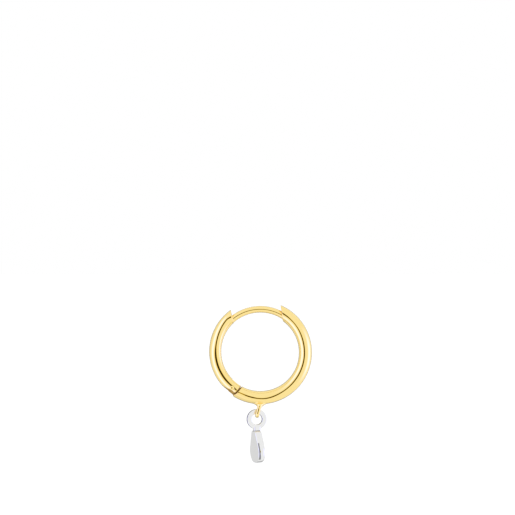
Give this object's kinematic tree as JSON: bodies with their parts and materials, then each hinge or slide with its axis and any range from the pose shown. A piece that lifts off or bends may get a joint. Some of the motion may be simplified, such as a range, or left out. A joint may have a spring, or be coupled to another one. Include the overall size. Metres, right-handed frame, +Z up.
{
  "type": "hoop charm earring",
  "caption": "Hinged round hoop earring that snaps onto a plain ear post, with a small bell-shaped drop hanging from a ring under the hoop.",
  "frame": {"origin": "middle of the ear post at its highest point, where the earring hangs in the ear lobe", "axes": "+Z up as it hangs, +X from the hinge side to the mouth side across the hoop, +Y through the hoop, away from the viewer"},
  "size_m": [0.0135, 0.0036, 0.0206],
  "materials": {
    "gold": "bright polished yellow gold plating",
    "gold_pin": "polished flush, a shade duller than the tube",
    "silver": "polished sterling silver"
  },
  "bodies": {
    "clasp": {"clasp_arm": "gold", "hinge_pin": "gold_pin"},
    "hoop": {"hoop_arc": "gold"},
    "charm": {"drop_charm": "silver"}
  },
  "joints": [
    {"name": "clasp_hinge", "type": "hinge", "parent": "clasp", "child": "hoop", "pos_m": [-0.00369, 0, -0.01031], "axis": [0, 1, 0], "range_deg": [0, 60]},
    {"name": "charm_swing", "type": "hinge", "parent": "hoop", "child": "charm", "pos_m": [-0.00042, 0, -0.014], "axis": [0, 1, 0], "range_deg": [-70, 70]}
  ]
}
